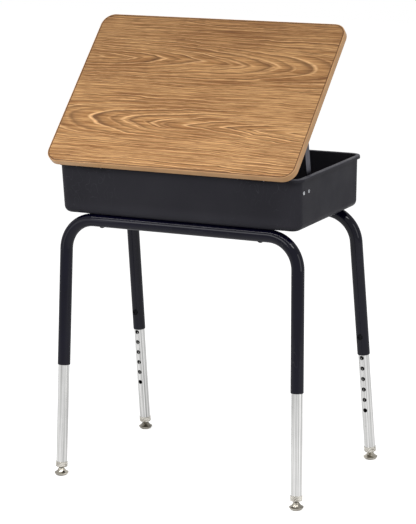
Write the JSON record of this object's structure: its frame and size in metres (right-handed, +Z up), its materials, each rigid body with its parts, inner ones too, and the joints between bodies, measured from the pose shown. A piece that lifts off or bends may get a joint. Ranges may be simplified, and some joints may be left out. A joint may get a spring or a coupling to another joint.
{
  "type": "school desk with lift lid",
  "caption": "School desk with a wood-grain lift lid on an open book box, carried by two bent U tube frames with chromed, height-adjustable legs and swivel glides.",
  "frame": {"origin": "on the floor, midway between the four feet", "axes": "+Z up, -Y towards the user, +Y the hinge side, X across the desk"},
  "size_m": [0.6266, 0.42, 1.018],
  "materials": {
    "wood_grain": "satin wood-grain laminate",
    "board": "raw particle board",
    "backer": "smooth backing sheet",
    "edge_band": "satin plastic band",
    "black_steel": "black paint",
    "zinc": "zinc plate",
    "bright_rivet": "bright",
    "rubber": "matte",
    "box_plastic": "fine-textured charcoal",
    "black_tube": "gloss black powder coat",
    "chrome_tube": "bright chrome plate",
    "nickel": "nickel plate",
    "glide_nylon": "smooth nylon"
  },
  "bodies": {
    "stand": {"book_box": "box_plastic", "hinge_leaf_box": "black_steel", "hinge_pins": "zinc", "hinge_rivets": "black_steel", "stay_track_left": "zinc", "stay_track_right": "zinc", "stay_track_spacers": "zinc", "stay_track_rivets": "bright_rivet", "frame_front": "black_tube", "frame_rear": "black_tube", "frame_bolts": "black_steel", "frame_washers": "zinc", "frame_nuts": "zinc", "lock_nuts": "zinc", "lock_screws": "black_steel"},
    "lid": {"lid_core": "board", "lid_top_sheet": "wood_grain", "lid_under_sheet": "backer", "lid_edge_band": "edge_band", "hinge_leaf_lid": "black_steel", "hinge_lid_screws": "zinc", "stay_lug_left": "zinc", "stay_lug_right": "zinc", "stay_lug_screws": "zinc", "stay_pivot_pins": "zinc", "lid_bumpers": "rubber"},
    "stay_left": {"stay_arm_left": "zinc", "stay_slide_pin_left": "zinc"},
    "stay_right": {"stay_arm_right": "zinc", "stay_slide_pin_right": "zinc"},
    "leg_front_left": {"leg_insert_front_left": "chrome_tube", "leg_ferrule_front_left": "chrome_tube", "glide_stem_front_left": "zinc"},
    "glide_front_left": {"glide_cap_front_left": "nickel", "glide_base_front_left": "glide_nylon"},
    "leg_front_right": {"leg_insert_front_right": "chrome_tube", "leg_ferrule_front_right": "chrome_tube", "glide_stem_front_right": "zinc"},
    "glide_front_right": {"glide_cap_front_right": "nickel", "glide_base_front_right": "glide_nylon"},
    "leg_rear_left": {"leg_insert_rear_left": "chrome_tube", "leg_ferrule_rear_left": "chrome_tube", "glide_stem_rear_left": "zinc"},
    "glide_rear_left": {"glide_cap_rear_left": "nickel", "glide_base_rear_left": "glide_nylon"},
    "leg_rear_right": {"leg_insert_rear_right": "chrome_tube", "leg_ferrule_rear_right": "chrome_tube", "glide_stem_rear_right": "zinc"},
    "glide_rear_right": {"glide_cap_rear_right": "nickel", "glide_base_rear_right": "glide_nylon"}
  },
  "joints": [
    {"name": "lid_hinge", "type": "hinge", "parent": "stand", "child": "lid", "pos_m": [0, 0.1864, 0.72], "axis": [-1, 0, 0], "range_deg": [-45, 0]},
    {"name": "stay_swing_left", "type": "hinge", "parent": "lid", "child": "stay_left", "pos_m": [-0.2855, 0.09377, 0.80061], "axis": [-1, 0, 0], "range_deg": [0, 22.5]},
    {"name": "stay_swing_right", "type": "hinge", "parent": "lid", "child": "stay_right", "pos_m": [0.2855, 0.09377, 0.80061], "axis": [-1, 0, 0], "range_deg": [0, 22.5]},
    {"name": "leg_height_front_left", "type": "slide", "parent": "stand", "child": "leg_front_left", "axis": [-0.0173, -0.088, -0.996], "range_m": [-0.1778, 0.0254]},
    {"name": "glide_tilt_front_left", "type": "hinge", "parent": "leg_front_left", "child": "glide_front_left", "pos_m": [-0.29731, -0.19398, 0.007], "axis": [1, 0, 0], "range_deg": [-8, 8]},
    {"name": "leg_height_front_right", "type": "slide", "parent": "stand", "child": "leg_front_right", "axis": [0.0173, -0.088, -0.996], "range_m": [-0.1778, 0.0254]},
    {"name": "glide_tilt_front_right", "type": "hinge", "parent": "leg_front_right", "child": "glide_front_right", "pos_m": [0.29731, -0.19398, 0.007], "axis": [1, 0, 0], "range_deg": [-8, 8]},
    {"name": "leg_height_rear_left", "type": "slide", "parent": "stand", "child": "leg_rear_left", "axis": [-0.0173, 0.088, -0.996], "range_m": [-0.1778, 0.0254]},
    {"name": "glide_tilt_rear_left", "type": "hinge", "parent": "leg_rear_left", "child": "glide_rear_left", "pos_m": [-0.29731, 0.19398, 0.007], "axis": [1, 0, 0], "range_deg": [-8, 8]},
    {"name": "leg_height_rear_right", "type": "slide", "parent": "stand", "child": "leg_rear_right", "axis": [0.0173, 0.088, -0.996], "range_m": [-0.1778, 0.0254]},
    {"name": "glide_tilt_rear_right", "type": "hinge", "parent": "leg_rear_right", "child": "glide_rear_right", "pos_m": [0.29731, 0.19398, 0.007], "axis": [1, 0, 0], "range_deg": [-8, 8]}
  ],
  "couplings": [
    {"joint": "stay_swing_left", "follows": "lid_hinge", "ratio": -0.5},
    {"joint": "stay_swing_right", "follows": "lid_hinge", "ratio": -0.5}
  ]
}
